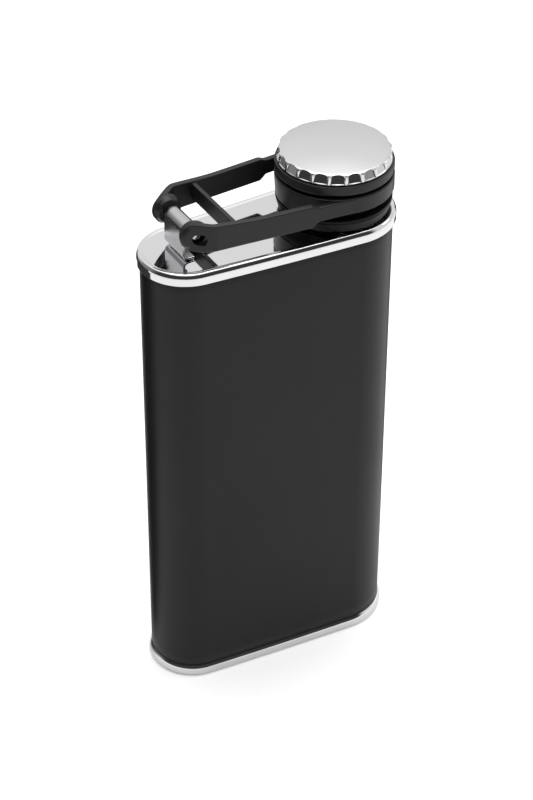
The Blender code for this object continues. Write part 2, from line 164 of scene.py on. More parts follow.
def meshOf(name, grid, loop=False):
    # quads between neighbouring rows and columns. Columns close on themselves, and rows either
    # close too or end in a fan round the end row's middle. Faces are turned outwards by volume.
    rows, cols = grid.shape[:2]
    index = np.arange(rows * cols).reshape(rows, cols)
    low, high = (index, np.roll(index, -1, axis=0)) if loop else (index[:-1], index[1:])
    quads = np.stack([low, np.roll(low, -1, axis=1), np.roll(high, -1, axis=1), high], axis=-1).reshape(-1, 4)
    points = grid.reshape(-1, 3)
    fans = np.zeros((0, 3), int)
    if not loop:
        points = np.vstack([points, grid[0].mean(axis=0), grid[-1].mean(axis=0)])
        first, last = index[0], index[-1]
        fans = np.vstack([
            np.column_stack([np.roll(first, -1), first, np.full(cols, rows * cols)]),
            np.column_stack([last, np.roll(last, -1), np.full(cols, rows * cols + 1)]),
        ])
    triangles = np.vstack([quads[:, :3], quads[:, [0, 2, 3]], fans])
    a, b, c = points[triangles].transpose(1, 0, 2)
    if np.einsum("ij,ij->", a, np.cross(b, c)) < 0:
        quads, fans = quads[:, ::-1], fans[:, ::-1]
    mesh = bpy.data.meshes.new(name)
    mesh.from_pydata((points * mm).tolist(), [], quads.tolist() + fans.tolist())
    return mesh


def addObject(name, data):
    made = bpy.data.objects.new(name, data)
    bpy.context.scene.collection.objects.link(made)
    return made


def addPiece(name, mesh, look, body, node, sharp=50):
    # edges steeper than the sharp angle, in degrees, stay crisp
    mesh.shade_smooth()
    mesh.set_sharp_from_angle(angle=math.radians(sharp))
    mesh.materials.clear()
    mesh.materials.append(look)
    piece = addObject(name, mesh)
    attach(piece, body)
    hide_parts(node)
    print("made", name, len(mesh.polygons), "faces")
    return piece


class Wire:
    # a socket of a node tree; arithmetic on it adds Math nodes
    def __init__(self, tree, socket=None):
        self.tree = tree
        self.socket = socket

    def node(self, kind, settings=None, sockets=None, out=0):
        made = self.tree.nodes.new(kind)
        for key, value in (settings or {}).items():
            setattr(made, key, value)
        for key, value in (sockets or {}).items():
            if isinstance(value, Wire):
                self.tree.links.new(value.socket, made.inputs[key])
            else:
                made.inputs[key].default_value = value
        return Wire(self.tree, made.outputs[out])

    def maths(self, operation, first, second=0.0):
        return self.node("ShaderNodeMath", {"operation": operation}, {0: first, 1: second})

    def __add__(self, other):
        return self.maths("ADD", self, other)

    def __radd__(self, other):
        return self.maths("ADD", other, self)

    def __sub__(self, other):
        return self.maths("SUBTRACT", self, other)

    def __rsub__(self, other):
        return self.maths("SUBTRACT", other, self)

    def __mul__(self, other):
        return self.maths("MULTIPLY", self, other)

    def __rmul__(self, other):
        return self.maths("MULTIPLY", other, self)

    def between(self, low, high):
        # 0 below low, 1 above high, smooth in between
        settings = {"interpolation_type": "SMOOTHSTEP"}
        return self.node("ShaderNodeMapRange", settings, {"Value": self, "From Min": low, "From Max": high})

    def noise(self, scale, detail=2.0, stretch=(1, 1, 1)):
        # scale is in features per metre, on Object coordinates
        place = self.node("ShaderNodeTexCoord", out=3)
        place = self.node("ShaderNodeMapping", None, {"Vector": place, "Scale": stretch})
        return self.node("ShaderNodeTexNoise", None, {"Vector": place, "Scale": scale, "Detail": detail})

    def mixed(self, factor, first, second):
        settings = {"data_type": "RGBA"}
        return self.node("ShaderNodeMix", settings, {0: factor, 6: (*first, 1), 7: (*second, 1)}, out=2)

    def bump(self, height, distance):
        # distance is in metres
        return self.node("ShaderNodeBump", None, {"Height": height, "Distance": distance, "Strength": 1.0})

    def axes(self):
        # the three numbers of a vector
        return [self.node("ShaderNodeSeparateXYZ", None, {0: self}, out=axis) for axis in range(3)]


def newLook(name, constants):
    # a Principled material with its constants set, and a Wire to build the rest from
    look = bpy.data.materials.new(name)
    look.use_nodes = True
    shader = look.node_tree.nodes["Principled BSDF"]
    for key, value in constants.items():
        shader.inputs[key].default_value = value
    return look, shader, Wire(look.node_tree)


def feed(wire, shader, **sockets):
    for key, value in sockets.items():
        wire.tree.links.new(value.socket, shader.inputs[key.replace("_", " ")])


def polishedLook(name, tone, polish, haze):
    # plated metal: a faint waviness, hairlines from wiping, and patches of haze
    look, shader, wire = newLook(name, {"Metallic": 1.0})
    patches = wire.noise(90, 3).between(0.35, 0.75)
    hairlines = wire.noise(900, 3, (1.0, 0.12, 0.35)).between(0.55, 0.8)
    colour = wire.mixed(patches, tone, [channel * 0.965 for channel in tone])
    normal = wire.bump(wire.noise(160, 1), 0.000008)
    feed(wire, shader, Base_Color=colour, Roughness=polish + patches * haze + hairlines * haze, Normal=normal)
    return look


coatValues = {
    "shine": 0.3,
    "roughness": 0.36,
    "tone": (0.0068, 0.0069, 0.0074),
    "speckTone": (0.02, 0.02, 0.022),
}


def coatLook():
    # satin powder coat: fine orange peel, slightly uneven gloss and specks of grey
    v = coatValues
    look, shader, wire = newLook("satinPowderCoat", {"Specular IOR Level": v["shine"]})
    peel = wire.noise(1500, 2)
    gloss = wire.noise(35, 3).between(0.3, 0.7)
    specks = wire.noise(5200, 1).between(0.68, 0.78)
    colour = wire.mixed(specks * 0.5, v["tone"], v["speckTone"])
    roughness = v["roughness"] + gloss * 0.05 + peel * 0.03
    feed(wire, shader, Base_Color=colour, Roughness=roughness, Normal=wire.bump(peel, 0.000012))
    return look


def mouldingLook(name, tone, shine):
    # moulded plastic: spark-eroded grain, faint flow marks along the arm, and handled patches
    look, shader, wire = newLook(name, {"Specular IOR Level": shine})
    grain = wire.noise(3600, 2)
    flow = wire.noise(120, 2, (0.25, 1, 1)).between(0.3, 0.7)
    colour = wire.mixed(flow, (tone, tone, tone * 1.06), (tone * 1.4, tone * 1.4, tone * 1.46))
    roughness = 0.33 + flow * 0.06 + grain * 0.05
    feed(wire, shader, Base_Color=colour, Roughness=roughness, Normal=wire.bump(grain, 0.000010))
    return look


steelValues = {"tone": (0.62, 0.62, 0.61), "dullTone": (0.55, 0.55, 0.54), "roughness": 0.16}


def steelLook():
    # turned stainless steel: fine tool marks round the neck and duller patches
    v = steelValues
    look, shader, wire = newLook("turnedSteel", {"Metallic": 1.0})
    marks = wire.noise(2400, 2, (0.05, 0.05, 1.0))
    patches = wire.noise(140, 2).between(0.3, 0.7)
    colour = wire.mixed(patches, v["tone"], v["dullTone"])
    roughness = v["roughness"] + marks * 0.1 + patches * 0.04
    feed(wire, shader, Base_Color=colour, Roughness=roughness, Normal=wire.bump(marks, 0.000008))
    return look


siliconeValues = {"tone": (0.70, 0.70, 0.68), "paleTone": (0.78, 0.78, 0.76), "roughness": 0.46}


def siliconeLook():
    # milky silicone with cloudy, paler patches and a fine grain
    v = siliconeValues
    look, shader, wire = newLook("sealSilicone", {"Subsurface Weight": 0.15, "Subsurface Scale": 0.001})
    cloud = wire.noise(300, 3).between(0.3, 0.7)
    grain = wire.noise(4000, 1)
    colour = wire.mixed(cloud, v["tone"], v["paleTone"])
    roughness = v["roughness"] + grain * 0.12
    feed(wire, shader, Base_Color=colour, Roughness=roughness, Normal=wire.bump(grain, 0.000015))
    return look


platingValues = {  # tone, roughness, and what a patch of haze adds to it
    "mirrorChrome": ((0.86, 0.86, 0.87), 0.035, 0.03),
    "satinChrome": ((0.84, 0.84, 0.85), 0.11, 0.04),
    "brushedChrome": ((0.62, 0.62, 0.63), 0.2, 0.06),
}
mouldingValues = {  # tone and specular level
    "blackMoulding": (0.012, 0.36),
    # a darker, less shiny copy of the black moulding: painted shade for the collar under the ring band
    "shadedMoulding": (0.005, 0.14),
}

chromeLook, crownLook, bracketLook = [polishedLook(name, *values) for name, values in platingValues.items()]
coat = coatLook()
moulding, shadedMoulding = [mouldingLook(name, *values) for name, values in mouldingValues.items()]
steel = steelLook()
silicone = siliconeLook()
print("made looks")


bodyValues = {"wall": 0.6, "edge": 0.12, "rows": 28}


def coatedBody():
    # a closed tube: outer wall up, over the rim, inner wall down
    v = bodyValues
    low, high = bodyLow[2], bodyHigh[2]
    outer = np.column_stack([np.zeros(v["rows"]), np.linspace(low + v["edge"], high - v["edge"], v["rows"])])
    inner = outer[::-1] - [v["wall"], 0]
    outerEdge, innerEdge = -v["edge"], v["edge"] - v["wall"]
    topRim = [(outerEdge, high), (innerEdge, high)]
    lowRim = [(innerEdge, low), (outerEdge, low)]
    mesh = meshOf("coatedBody", planGrid(np.vstack([outer, topRim, inner, lowRim])), True)
    addPiece("coatedBody", mesh, coat, "flask", "body_shell")


panValues = {
    "outset": 0.85,
    "skirt": 3.4,
    "rollArcs": ((0.5, 90, 42), (2.3, 42, 12), (1.0, 12, 0)),  # radius and normal angles, crest to skirt
    "footRoll": 1.4,
    "lip": 0.22,
    "drop": 0.2,  # the plate lies this far below the roll's crest
    "plateEdge": -1.5,
    "thick": 0.6,
    "seamGap": 0.04,
    "neckGap": 0.15,
    "footInner": -3.2,
    "recessEdge": -4.4,
    "recess": 1.2,
    "beadRadius": 3.9,  # the base pan leans in to the body along this arc
    "beadAngle": 36.5,
    "support": 0.05,  # rows this far from a curve keep the flat beside it flat
    "holeEdge": 0.12,
}


def chainedArcs(steps, count):
    # arcs that follow on from each other, each from one normal angle to the next, ending at (0, 0)
    points = np.zeros((1, 2))
    for radius, first, last in steps:
        way = np.array([math.cos(math.radians(first)), math.sin(math.radians(first))])
        points = np.vstack([points, arcOf(points[-1] - radius * way, radius, first, last, count)[1:]])
    return points - points[-1]


def topPan():
    # plate, then a slight rise to the crest, the roll, a straight skirt and a turned-in lip
    v = panValues
    crest = panHigh[2]
    plate = crest - v["drop"]
    low = crest - v["skirt"]
    roll = chainedArcs(v["rollArcs"], 12)
    roll += [v["outset"], crest - roll[0, 1]]
    rise = np.linspace(v["plateEdge"], roll[0, 0] - 0.04, 14)
    step = np.column_stack([rise, plate + v["drop"] * smoothStep(rise, rise[0], rise[-1])])
    lip = arcOf((v["outset"] - v["lip"], low + v["lip"]), v["lip"], 0, -90, 6)
    skirtZ = np.linspace(roll[-1, 1] - v["support"], low + v["lip"] + v["support"], 6)
    skirt = np.column_stack([np.full(6, v["outset"]), skirtZ])
    under = plate - v["thick"]
    inside = [(v["seamGap"], low), (v["seamGap"], under - 0.3), (v["plateEdge"], under)]
    outer = planGrid(np.vstack([step, roll, skirt, lip, inside]))
    holeRadius = neckWallRadius + v["neckGap"]
    shares = np.array([0, 0.02, 0.2, 0.4, 0.6, 0.8, 0.98])[:, None, None]
    rim = neckHoleRow(holeRadius + v["holeEdge"], plate)
    plateRows = rim + (outer[0] - rim) * shares
    edgeRows = [neckHoleRow(holeRadius, under), neckHoleRow(holeRadius, plate - v["holeEdge"])]
    grid = np.concatenate([edgeRows, plateRows, outer])
    addPiece("topPan", meshOf("topPan", grid, True), chromeLook, "flask", "top_plate")


def basePan():
    # inside floor, bead leaning out from the body, roll, flat foot and a shallow recess
    v = panValues
    rollX = v["outset"] - v["footRoll"]
    bead = arcOf((v["outset"] - v["beadRadius"], v["footRoll"]), v["beadRadius"], v["beadAngle"], 0, 16)
    roll = arcOf((rollX, v["footRoll"]), v["footRoll"], 0, -90, 16)
    lipZ = bead[0][1]
    lip = [(v["seamGap"], lipZ - 0.1), (v["seamGap"], lipZ - 0.02)]
    foot = rounded([
        (rollX - 0.1, 0, 0),
        (v["footInner"], 0, 0.3),
        (v["recessEdge"], v["recess"], 0.3),
        (v["recessEdge"] - 1.5, v["recess"], 0),
        (v["recessEdge"] - 4.0, v["recess"], 0),
    ])
    floor = [(-8, bodyLow[2] - 0.3), (v["seamGap"] - 0.6, bodyLow[2] - 0.3), (v["seamGap"], bodyLow[2])]
    grid = planGrid(np.vstack([floor, lip, bead, roll, foot]))
    addPiece("basePan", meshOf("basePan", grid), chromeLook, "flask", "base_plate")


neckWallRadius = 10.5
threadValues = {
    "pitch": 2.5,
    "low": 1.6,
    "high": 9.2,
    "rise": 0.7,
    "crestShare": 0.08,  # half widths of the ridge's crest and foot, as shares of the pitch
    "footShare": 0.3,
    "runIn": 1.0,
    "runOut": (1.4, 0.4),
    "rowsPerPitch": 20,
    "columns": 144,
}


def threadRidge(grid, phase):
    # one right-hand helix: a rounded ridge where the height's share of a pitch, less the turn's
    # share of a circle, is near one half. It fades out at both ends.
    v = threadValues
    height = grid[..., 2] - plateZ
    turn = np.arctan2(grid[..., 1], grid[..., 0] - capX) / (2 * math.pi)
    share = np.mod(height / v["pitch"] - turn + phase, 1.0)
    ridge = 1 - smoothStep(np.abs(share - 0.5), v["crestShare"], v["footShare"])
    start = smoothStep(height, v["low"], v["low"] + v["runIn"])
    end = smoothStep(height, v["high"] - v["runOut"][0], v["high"] - v["runOut"][1])
    return ridge * (start * (1 - end))


def pushOut(grid, distance):
    # moves points away from the cap's axis
    away = grid[..., :2] - [capX, 0]
    away = away / np.linalg.norm(away, axis=-1, keepdims=True)
    return np.concatenate([grid[..., :2] + away * distance[..., None], grid[..., 2:]], axis=-1)


def threadHeights():
    v = threadValues
    return np.arange(v["low"], v["high"], v["pitch"] / v["rowsPerPitch"])


neckValues = {"bore": 9.6, "flange": 13.0, "flangeThick": 0.8, "lip": 0.3}


def threadedNeck():
    v = neckValues
    under = neckLow[2] - plateZ
    top = neckHigh[2] - plateZ
    wall = neckWallRadius
    foot = rounded([
        (v["bore"], under, 0.2),
        (v["flange"], under, 0.2),
        (v["flange"], under + v["flangeThick"], 0.2),
        (wall, under + v["flangeThick"], 0.15),
        (wall, threadValues["low"] - 0.2, 0),
    ])
    outside = np.column_stack([np.full(len(threadHeights()), wall), threadHeights()])
    rim = rounded([(wall, threadValues["high"] + 0.1, 0), (wall, top, v["lip"]), (v["bore"], top, v["lip"])])
    inside = np.column_stack([np.full(8, v["bore"]), np.linspace(top - 1, under + 0.5, 8)])
    grid = turnedGrid(np.vstack([foot, outside, rim, inside]), threadValues["columns"])
    onThread = np.zeros(len(grid))
    onThread[len(foot):len(foot) + len(outside)] = threadValues["rise"]
    grid = pushOut(grid, threadRidge(grid, 0.0) * onThread[:, None])
    addPiece("threadedNeck", meshOf("threadedNeck", grid, True), steel, "flask", "neck")


bracketValues = {
    "knuckle": 2.4,
    "sheet": 0.6,
    "half": 5.3,
    "footReach": 0.9,
    "footGap": 0.3,
    "bend": 1.3,
    "edge": 0.16,
    "seam": 152,  # the roll round the pin ends this many degrees below +X
}


def rolledBracket():
    # a strip of sheet carried along its own middle line: foot, bend, upright, then most of a
    # turn round the pin. The section is a thin rounded box across that line.
    v = bracketValues
    middle = v["knuckle"] - v["sheet"] / 2
    footZ = plateZ + v["footGap"] + v["sheet"] / 2
    wallX = pinX - middle
    footX = np.linspace(pinX + v["footReach"], wallX + v["bend"] + 0.1, 6)
    foot = np.column_stack([footX, np.full(6, footZ)])
    bend = arcOf((wallX + v["bend"], footZ + v["bend"]), v["bend"], 270, 180, 10)
    rise = np.column_stack([np.full(8, wallX), np.linspace(footZ + v["bend"] + 0.1, pinZ - 0.1, 8)])
    curl = arcOf((pinX, pinZ), middle, 180, -v["seam"], 72)
    line = np.vstack([foot, bend, rise, curl])
    along = np.gradient(line, axis=0)
    along /= np.linalg.norm(along, axis=1)[:, None]
    across = np.column_stack([-along[:, 1], along[:, 0]])
    sideU, sideV, bendU, bendV = boxSection(4).T
    wide = -v["half"] + v["edge"] + sideU * (2 * v["half"] - 2 * v["edge"]) + v["edge"] * bendU
    deep = -v["sheet"] / 2 + v["edge"] + sideV * (v["sheet"] - 2 * v["edge"]) + v["edge"] * bendV
    x = line[:, 0:1] + across[:, 0:1] * deep
    z = line[:, 1:2] + across[:, 1:2] * deep
    grid = np.stack([x, 0 * x + wide, z], axis=-1)
    mesh = meshOf("rolledBracket", grid)
    addPiece("rolledBracket", mesh, bracketLook, "flask", "hinge_bracket")


def turnedAlongY(profile, steps, x, z):
    # (radius, y) pairs carried round an axis along Y
    turn = np.linspace(0, 2 * math.pi, steps, endpoint=False)
    radius, y = np.asarray(profile)[:, 0:1], np.asarray(profile)[:, 1:2]
    return np.stack([x + radius * np.cos(turn), y + 0 * turn, z + radius * np.sin(turn)], axis=-1)


pinValues = {"radius": 1.25, "half": 8.5, "dome": 0.25, "edge": 0.2}


def hingeRod():
    # a plain rod with a low domed head at each end
    v = pinValues
    end = rounded([
        (0.1, v["half"], 0),
        (0.8, v["half"] - 0.05, 0.1),
        (v["radius"], v["half"] - v["dome"], v["edge"]),
        (v["radius"], v["half"] - 1.5, 0),
    ])
    profile = np.vstack([end, [(v["radius"], 0)], end[::-1] * [1, -1]])
    grid = turnedAlongY(profile, 48, pinX, pinZ)
    addPiece("hingeRod", meshOf("hingeRod", grid), steel, "arm", "hinge_pin")


armValues = {
    "edge": 0.35,
    "ringInner": 14.2,
    "ringOuter": 16.25,
    "ringOuterLow": 15.9,
    "ringHigh": 11.5,
    "ringLow": 7.0,
    "ringDeepLow": 5.1,
    "deepHalfAngle": 52,
    "deepBlend": 9,
    "barTangent": 16.1,
    "barSpread": 4.7,
    "barThick": 1.8,
    "barLow": 5.5,
    "barHigh": 12.1,
    "bandLow": 7.0,
    "bandHigh": 11.3,
    "stepX": 6.2,
    "stepHalf": 1.3,
    "jogNear": -29.5,
    "jogFar": -21.8,
    "riseX": -8.0,  # from here the bars' top edges rise towards the eyes
    "jogStartY": 8.3,
    "barStart": 0.8,  # share of the eye's radius by which a bar runs on past its middle
    "eyeBack": 0.4,  # the eye's middle lies this far behind the pin
    "eyeUp": 0.4,
    "eyeRadius": 4.05,
    "eyeInner": 5.6,
    "eyeOuter": 8.9,
    "eyeSwell": 0.2,  # share of the radius gained from the inner face outwards
    "swellEnd": 0.7,  # shares of the eye's thickness where the swell ends and the roll-over starts
    "rollStart": 0.72,
    "bore": 1.6,
    "slotFloor": 7.2,
    "slotTravel": 0.6,
    "crossbarX": -16.1,
    "crossbarThick": 1.3,
    "crossbarLow": 7.3,
    "crossbarHigh": 12.0,
    "crossbarEdge": 0.22,
}


def boxBetween(lowU, highU, lowV, highV, edge):
    # the rounded box section between two pairs of limits, which may change along the piece
    sideU, sideV, bendU, bendV = boxSection().T
    u = lowU + edge + sideU * (highU - lowU - 2 * edge) + edge * bendU
    v = lowV + edge + sideV * (highV - lowV - 2 * edge) + edge * bendV
    return u, v


def ringGrid():
    # the section carried round the cap's axis. The ring is deeper over the hinge side, and its
    # outer wall leans in slightly towards the bottom there.
    v = armValues
    turn = np.linspace(0, 2 * math.pi, 240, endpoint=False)[:, None]
    fromHinge = np.degrees(np.abs(turn - math.pi))
    deep = 1 - smoothStep(fromHinge, v["deepHalfAngle"] - v["deepBlend"], v["deepHalfAngle"] + v["deepBlend"])
    low = v["ringLow"] + (v["ringDeepLow"] - v["ringLow"]) * deep
    radius, height = boxBetween(v["ringInner"], v["ringOuter"] + 0 * low, low, v["ringHigh"], v["edge"])
    share = (height - low) / (v["ringHigh"] - low)
    lean = (v["ringOuter"] - v["ringOuterLow"]) * deep * (1 - share)
    radius = radius - lean * smoothStep(radius, v["ringInner"] + 0.5, v["ringOuter"] - 0.3)
    return np.stack([capX + radius * np.cos(turn), radius * np.sin(turn), plateZ + height], axis=-1)


def barGrid(side):
    # the section carried along X: outer face tangent to the ring, with a curve in to the eye;
    # a step from the tall bar to the lower band beside the ring
    v = armValues
    spread = math.radians(v["barSpread"])
    eyeX = pinX - v["eyeBack"]
    tangentX = capX - v["barTangent"] * math.sin(spread)
    x = np.concatenate([
        np.linspace(eyeX - v["barStart"] * v["eyeRadius"], v["jogFar"], 40),
        np.linspace(v["jogFar"] + 0.3, v["stepX"] - v["stepHalf"] - 0.2, 24),
        np.linspace(v["stepX"] - v["stepHalf"], v["stepX"] + v["stepHalf"], 18),
        [v["stepX"] + v["stepHalf"] + 0.2, tangentX],
    ])[:, None]
    straight = v["barTangent"] / math.cos(spread) + (x - capX) * math.tan(spread)
    outer = v["jogStartY"] + (straight - v["jogStartY"]) * smoothStep(x, v["jogNear"], v["jogFar"])
    slope = np.gradient(outer[:, 0], x[:, 0])[:, None]
    inner = outer - v["barThick"] * np.sqrt(1 + slope**2)
    step = smoothStep(x, v["stepX"] - v["stepHalf"], v["stepX"] + v["stepHalf"])
    root = 1 - smoothStep(x, eyeX, v["jogFar"])
    eyeZ = pinZ - plateZ + v["eyeUp"]
    low = v["barLow"] + (v["bandLow"] - v["barLow"]) * step
    high = v["barHigh"] + (v["bandHigh"] - v["barHigh"]) * step
    half = np.sqrt(v["eyeRadius"] ** 2 - np.minimum(x - eyeX, 0) ** 2)
    low = low + (eyeZ - half - low) * root
    high = high + (eyeZ + half - high) * (1 - smoothStep(x, eyeX, v["riseX"]))
    y, z = boxBetween(inner, outer, low, high, v["edge"])
    return np.stack([x + 0 * y, side * y, plateZ + z], axis=-1)


def eyeGrid(side):
    # a boss round the pin: its radius swells from the inner face and rolls over to the outer one
    v = armValues
    share = np.linspace(0, 1, 24)
    y = v["eyeInner"] + (v["eyeOuter"] - v["eyeInner"]) * share
    swell = 1 - v["eyeSwell"] + v["eyeSwell"] * np.sin(np.minimum(share / v["swellEnd"], 1) * math.pi / 2)
    rolled = np.clip((share - v["rollStart"]) / (1 - v["rollStart"]), 0, 1)
    roll = np.sqrt(1 - rolled**2 * 0.5)
    radius = v["eyeRadius"] * swell * roll
    radius[0] -= 0.25
    radius[-1] -= 0.1
    face = np.linspace(0.15, 0.95, 5)
    profile = np.vstack([
        np.column_stack([radius[0] * face, np.full(5, side * y[0])]),
        np.column_stack([radius, side * y]),
        np.column_stack([radius[-1] * face[::-1], np.full(5, side * y[-1])]),
    ])
    return turnedAlongY(profile, 96, pinX - v["eyeBack"], pinZ + v["eyeUp"])


def crossbarGrid():
    # the section carried along Y from bar to bar
    v = armValues
    spread = math.radians(v["barSpread"])
    half = v["barTangent"] + (v["crossbarX"] - capX) * math.tan(spread) - v["barThick"] / 2
    y = np.linspace(-half, half, 12)[:, None]
    nearX, farX = v["crossbarX"] - v["crossbarThick"] / 2, v["crossbarX"] + v["crossbarThick"] / 2
    x, z = boxBetween(nearX, farX, v["crossbarLow"], v["crossbarHigh"], v["crossbarEdge"])
    return np.stack([x + 0 * y, y + 0 * x, plateZ + z + 0 * y], axis=-1)


def slotGrid(side):
    # a long round-ended slot, from its floor out past the eye's face
    v = armValues
    clear = 4
    near = arcOf((pinX, pinZ), v["bore"], 90, 270, 24)
    far = arcOf((pinX + v["slotTravel"], pinZ), v["bore"], -90, 90, 24)
    face = np.vstack([near, far])
    y = np.array([v["slotFloor"], v["slotFloor"] + clear])[:, None] * side
    return np.stack([face[:, 0] + 0 * y, 0 * face[:, 0] + y, face[:, 1] + 0 * y], axis=-1)


def swingArm():
    # ring, bars, eyes and crossbar joined into one moulding, then bored and slotted
    v = armValues
    arm = addObject("armShape", meshOf("armShape", ringGrid(), True))
    joined = [barGrid(-1), barGrid(1), eyeGrid(-1), eyeGrid(1), crossbarGrid()]
    bore = turnedAlongY([(v["bore"], -15), (v["bore"], 15)], 48, pinX, pinZ)
    cut = [bore, slotGrid(-1), slotGrid(1)]
    tools = []
    for operation, grids in (("UNION", joined), ("DIFFERENCE", cut)):
        for grid in grids:
            tool = addObject("armTool", meshOf("armTool", grid))
            step = arm.modifiers.new(operation, "BOOLEAN")
            step.operation = operation
            step.object = tool
            step.solver = "EXACT"
            tools.append(tool)
    bpy.context.view_layer.update()
    mesh = bpy.data.meshes.new_from_object(arm.evaluated_get(bpy.context.evaluated_depsgraph_get()))
    for tool in tools + [arm]:
        bpy.data.objects.remove(tool, do_unlink=True)
    mesh.name = "swingArm"
    piece = addPiece("swingArm", mesh, moulding, "arm", "retention_arm", 40)
    flats = piece.modifiers.new("flats", "WEIGHTED_NORMAL")
    flats.keep_sharp = True


capValues = {
    "low": 0.9,
    "bore": 12.9,
    "threadRise": 0.7,
    "sleeve": 13.7,
    "roof": 12.3,
    "flange": 16.15,
    "flangeLow": 12.5,
    "flangeHigh": 15.2,
    "boss": 14.0,
    "bossHigh": 17.2,
    "edge": 0.3,
}


def capMoulding():
    # the cap's body: boss under the crown, flange, sleeve through the ring, and a threaded bore
    v = capValues
    outside = rounded([
        (0.2, v["bossHigh"], 0),
        (v["boss"], v["bossHigh"], 0.3),
        (v["boss"], v["flangeHigh"], 0.15),
        (v["flange"], v["flangeHigh"], v["edge"]),
        (v["flange"], v["flangeLow"], 0.55),
        (v["sleeve"], v["flangeLow"], 0.2),
        (v["sleeve"], v["low"], 0.25),
        (v["bore"], v["low"], 0.25),
        (v["bore"], threadValues["low"] - 0.2, 0),
    ])
    bore = np.column_stack([np.full(len(threadHeights()), v["bore"]), threadHeights()])
    boreTop = threadValues["high"] + 0.1
    roof = rounded([(v["bore"], boreTop, 0), (v["bore"], v["roof"], 0.3), (0.2, v["roof"], 0)])
    grid = turnedGrid(np.vstack([outside, bore, roof]), threadValues["columns"])
    onThread = np.zeros(len(grid))
    onThread[len(outside):len(outside) + len(bore)] = -v["threadRise"]
    grid = pushOut(grid, threadRidge(grid, 0.5) * onThread[:, None])
    addPiece("capMoulding", meshOf("capMoulding", grid), moulding, "cap", "cap_body")


sealValues = {"radius": 11.8, "thick": 1.1, "ridgeRadius": 10.05, "ridge": 0.12}


def capSealDisc():
    # a disc with a shallow groove pressed in where it meets the neck's rim
    v = sealValues
    low = neckHigh[2] - plateZ + 0.3
    under = np.linspace(0.2, v["radius"] - 0.4, 60)
    groove = v["ridge"] * np.exp(-((under - v["ridgeRadius"]) / 0.5) ** 2)
    edge = rounded([
        (v["radius"] - 0.4, low, 0),
        (v["radius"], low, 0.2),
        (v["radius"], low + v["thick"], 0.2),
        (0.2, low + v["thick"], 0),
    ])
    profile = np.vstack([np.column_stack([under, low + groove]), edge[1:]])
    mesh = meshOf("capSealDisc", turnedGrid(profile, 96))
    addPiece("capSealDisc", mesh, silicone, "cap", "cap_seal")


collarValues = {"low": 0.9, "high": 4.7, "lowRadius": 15.0, "highRadius": 15.9, "inner": 14.0, "groove": 0.16}


def capSkirtCollar():
    # a tapered ring with one fine groove under its upper edge
    v = collarValues
    lip = v["high"] - 0.75
    profile = rounded([
        (v["inner"], v["low"], 0.15),
        (v["lowRadius"], v["low"], 0.3),
        (v["highRadius"] - 0.12, lip - 0.3, 0.1),
        (v["highRadius"] - 0.12 - v["groove"], lip - 0.12, 0.06),
        (v["highRadius"] - 0.05, lip, 0.08),
        (v["highRadius"], v["high"], 0.3),
        (v["inner"], v["high"], 0.15),
    ])
    mesh = meshOf("capSkirtCollar", turnedGrid(profile, 192), True)
    # the collar takes the darker copy of the moulding, as painted shade under the ring band
    addPiece("capSkirtCollar", mesh, shadedMoulding, "cap", "cap_collar")


crownValues = {
    "flutes": 21,
    "turned": 6.5,  # degrees, clockwise from above
    "rib": 0.5,
    "floorLow": 15.3,  # the flute floors lean in from their foot to the dome's edge
    "floorHigh": 14.1,
    "archDrop": 0.7,  # a flute ends this much lower at its sides than in its middle
    "archHigh": -0.02,  # where it ends in its middle, from the dome's edge upwards
    "sideSoft": (0.34, 0.1),  # how far the blends at a flute's side, foot and arch reach
    "footSoft": 0.12,
    "archSoft": (0.22, 0.12),
    "floorSoft": 0.05,
    "radius": 15.5,
    "shoulder": 15.3,
    "inner": 14.35,
    "sag": 1.4,
    "shoulderCut": 0.85,
    "lip": 0.24,
    "roof": 2.0,
    "columnsPerFlute": 24,
}


def crownProfile(low, brow, top):
    # the outside, from a parabolic dome over its rounded edge down the skirt, and then the inside,
    # from the skirt's foot up to the roof
    v = crownValues
    radii = np.concatenate([[0.15], np.linspace(0.8, v["shoulder"] - 1.2, 26)])
    dome = np.column_stack([radii, top - v["sag"] * (radii / v["shoulder"]) ** 2])
    bend = rounded([
        (*dome[-1], 0),
        (v["shoulder"] + 0.05, brow, v["shoulderCut"]),
        (v["radius"], low + v["lip"] + 0.3, 0),
    ], steps=22)[1:]
    skirtTop, skirtLow = bend[-2], np.array([v["radius"], low + 0.2])
    t = np.linspace(0, 1, 34)[1:, None]
    skirt = skirtTop + (skirtLow - skirtTop) * t
    inside = rounded([
        (v["radius"], low + 0.12, 0),
        (v["radius"], low, 0.1),
        (v["inner"], low, 0.1),
        (v["inner"], low + v["roof"], 0.2),
        (0.2, low + v["roof"], 0),
    ], steps=4)
    return np.vstack([dome, bend[:-2], skirt]), inside


